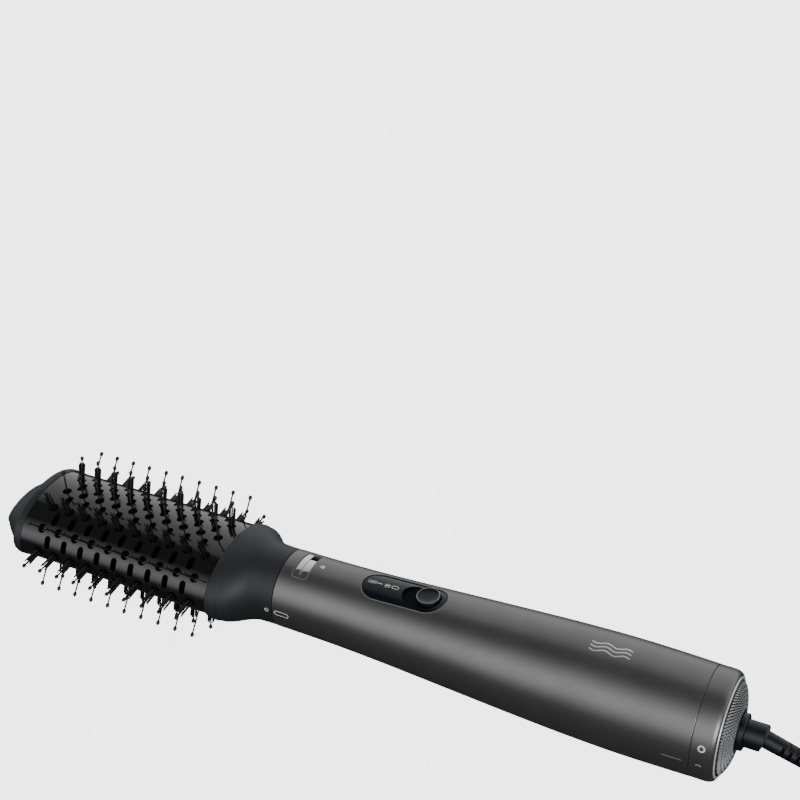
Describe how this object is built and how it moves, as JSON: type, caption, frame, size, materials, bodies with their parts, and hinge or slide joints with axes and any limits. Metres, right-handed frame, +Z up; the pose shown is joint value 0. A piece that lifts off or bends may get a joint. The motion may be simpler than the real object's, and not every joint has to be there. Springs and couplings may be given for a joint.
{
  "type": "hot air brush",
  "caption": "Hot air styling brush with a round tapering handle, slide switch, oval bristle barrel, twist-off filter cap and swivel mains cord.",
  "frame": {"origin": "under the middle of the brush without its free cord, on the surface it lies on", "axes": "+X along the brush towards its cord end, +Z up from the surface, the head's flat side facing +Z"},
  "size_m": [0.5472, 0.1266, 0.062],
  "materials": {
    "handle_metallic": "satin gunmetal lacquer over plastic",
    "satin_chrome": "satin chrome plating",
    "dark_metal": "dark satin metal",
    "mesh": "fine woven steel",
    "inner_plastic": "black glass-filled plastic",
    "cord_black": "bluish black soft plastic",
    "steel": "plain steel",
    "rubber": "black rubber",
    "gloss_black": "high gloss",
    "satin_black": "satin",
    "board": "green circuit board",
    "mica": "pressed mica sheet",
    "heating_wire": "resistance wire",
    "chrome": "bright chrome",
    "tie_black": "hook and loop strap",
    "brass_nickel": "nickel plated brass",
    "impeller_plastic": "natural white nylon",
    "soft_charcoal": "soft touch charcoal",
    "ceramic_black": "glossy black ceramic coat on metal",
    "bristle_nylon": "black heat resistant nylon"
  },
  "bodies": {
    "handle": {"handle_shell": "handle_metallic", "rear_frame": "inner_plastic", "gland_flange": "cord_black", "fan_duct": "inner_plastic", "motor_can": "steel", "motor_mount_rear": "rubber", "motor_mount_front": "rubber", "switch_plate": "gloss_black", "slide_switch": "inner_plastic", "circuit_board": "board", "mica_sleeve": "mica", "mica_cross": "mica", "heating_coils": "heating_wire", "thermostat": "steel", "thermal_fuse": "steel", "heater_carrier_rear": "inner_plastic", "heater_carrier_front": "inner_plastic", "outlet_spigot": "inner_plastic", "outlet_grille": "inner_plastic", "catch_trim": "chrome", "catch_spring": "steel", "cord_lead": "cord_black", "cord_coil": "cord_black", "cord_tie": "tie_black", "cord_tail": "cord_black", "plug_body": "cord_black", "plug_pins": "brass_nickel"},
    "filter_cap": {"filter_cap": "handle_metallic", "bezel_ring": "satin_chrome", "intake_grille": "dark_metal", "grille_inner_ring": "satin_chrome", "filter_mesh": "mesh"},
    "cord_swivel": {"swivel_body": "cord_black", "swivel_clip": "steel", "strain_relief": "cord_black"},
    "fan_rotor": {"motor_shaft": "steel", "impeller": "impeller_plastic"},
    "switch_knob": {"switch_knob": "satin_black"},
    "release_catch": {"release_catch": "chrome"},
    "brush_head": {"head_collar": "soft_charcoal", "head_sleeve": "inner_plastic", "barrel_shell": "ceramic_black", "head_core": "inner_plastic", "end_cap": "soft_charcoal", "bristle_strip_01": "bristle_nylon", "bristle_strip_02": "bristle_nylon", "bristle_strip_03": "bristle_nylon", "bristle_strip_04": "bristle_nylon", "bristle_strip_05": "bristle_nylon", "bristle_strip_06": "bristle_nylon", "bristle_strip_07": "bristle_nylon", "bristle_strip_08": "bristle_nylon", "bristle_strip_09": "bristle_nylon", "bristle_strip_10": "bristle_nylon", "bristle_strip_11": "bristle_nylon", "bristle_strip_12": "bristle_nylon"}
  },
  "joints": [
    {"name": "filter_cap_twist", "type": "hinge", "parent": "handle", "child": "filter_cap", "pos_m": [0.15195, 0, 0.02446], "axis": [0.9997, 0, -0.0233], "range_deg": [0, 21.7]},
    {"name": "cord_swivel_turn", "type": "hinge", "parent": "handle", "child": "cord_swivel", "pos_m": [0.16695, 0, 0.02411], "axis": [0.9997, 0, -0.0233], "continuous": true},
    {"name": "fan_spin", "type": "hinge", "parent": "handle", "child": "fan_rotor", "pos_m": [0.11196, 0, 0.02539], "axis": [0.9997, 0, -0.0233], "continuous": true},
    {"name": "switch_slide", "type": "slide", "parent": "handle", "child": "switch_knob", "axis": [-0.9996, 0, -0.0291], "range_m": [0, 0.0066]},
    {"name": "catch_turn", "type": "hinge", "parent": "handle", "child": "release_catch", "pos_m": [-0.044, 0, 0.02902], "axis": [-0.9997, 0, 0.0233], "range_deg": [0, 15], "stiffness_Nm_per_rad": 0.05, "springref_deg": -17.19},
    {"name": "head_release", "type": "slide", "parent": "handle", "child": "brush_head", "axis": [-0.9997, 0, 0.0233], "range_m": [0, 0.03]}
  ]
}
